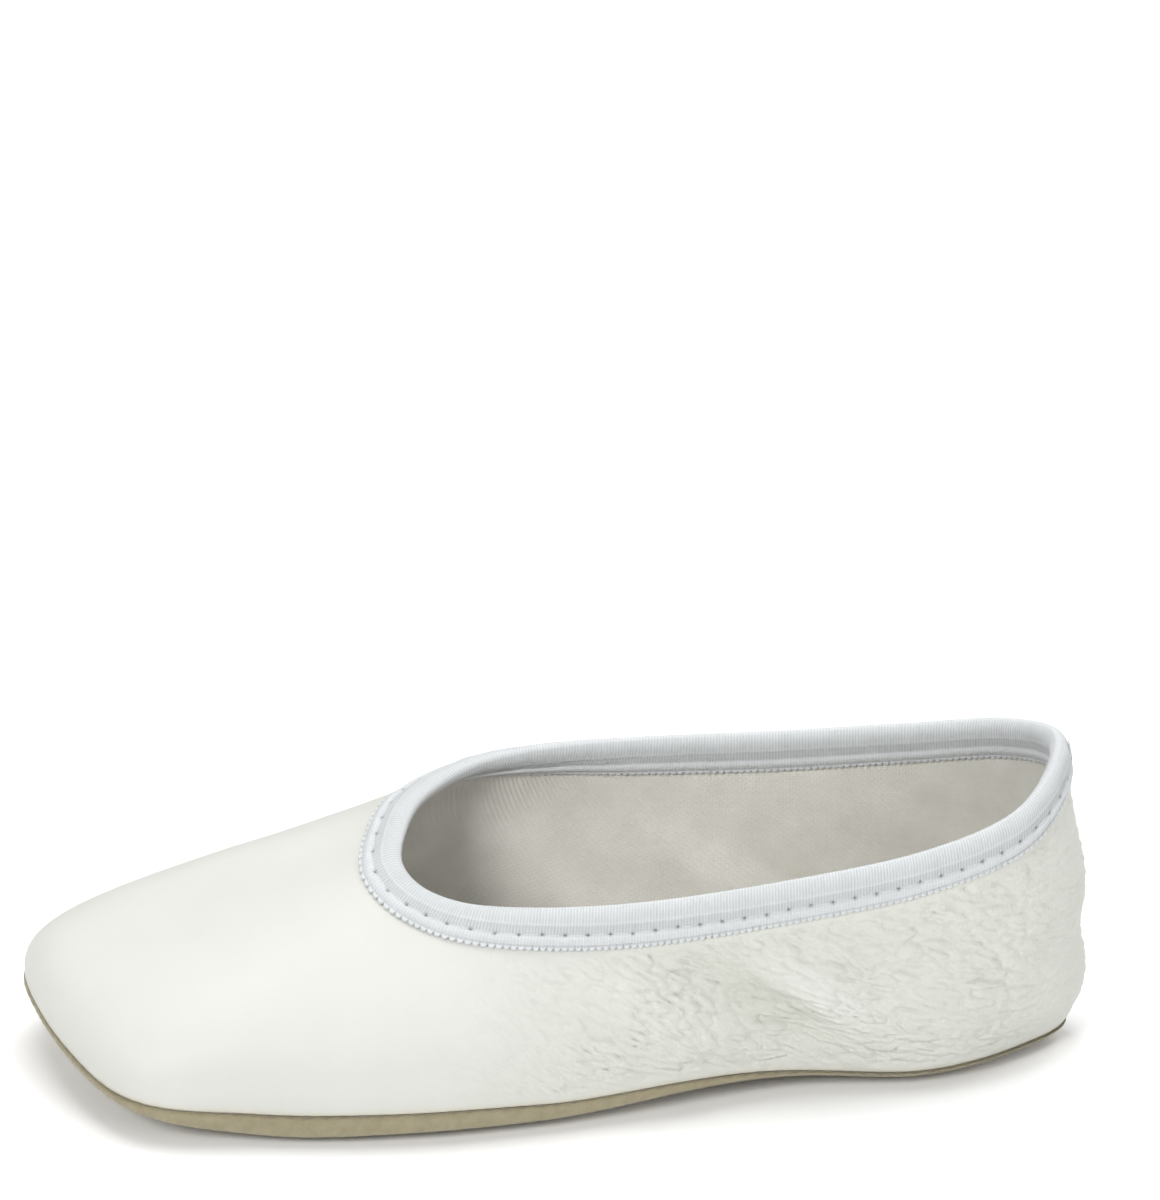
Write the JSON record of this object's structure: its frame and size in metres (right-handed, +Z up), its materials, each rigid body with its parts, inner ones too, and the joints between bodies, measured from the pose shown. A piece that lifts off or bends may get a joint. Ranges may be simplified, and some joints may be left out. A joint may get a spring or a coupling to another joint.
{
  "type": "ballet slipper",
  "caption": "Low-cut soft leather dance slipper with a full suede sole, padded insole and a folded elastic binding stitched round the foot opening.",
  "frame": {"origin": "on the floor, under the middle of the slipper's bounding box", "axes": "+X from the heel towards the toe, +Y towards the slipper's left, which is the foot's outer side, +Z up"},
  "size_m": [0.201, 0.0732, 0.0624],
  "materials": {
    "suede": "brushed tan suede",
    "felt": "needled felt padding",
    "cotton": "plain cotton lining cloth",
    "leather": "soft white leather with a satin surface",
    "elastic": "ribbed fold-over elastic with a picot edge",
    "thread": "fine sewing thread"
  },
  "bodies": {
    "root": {"outsole": "suede", "insole_pad": "felt", "sock_lining": "cotton", "upper_lining": "cotton", "upper": "leather", "topline_binding": "elastic", "topline_stitching": "thread", "sole_seam_stitching": "thread", "heel_backstrip": "cotton", "back_seam_stitching": "thread", "binding_join_stitching": "thread"}
  },
  "joints": []
}
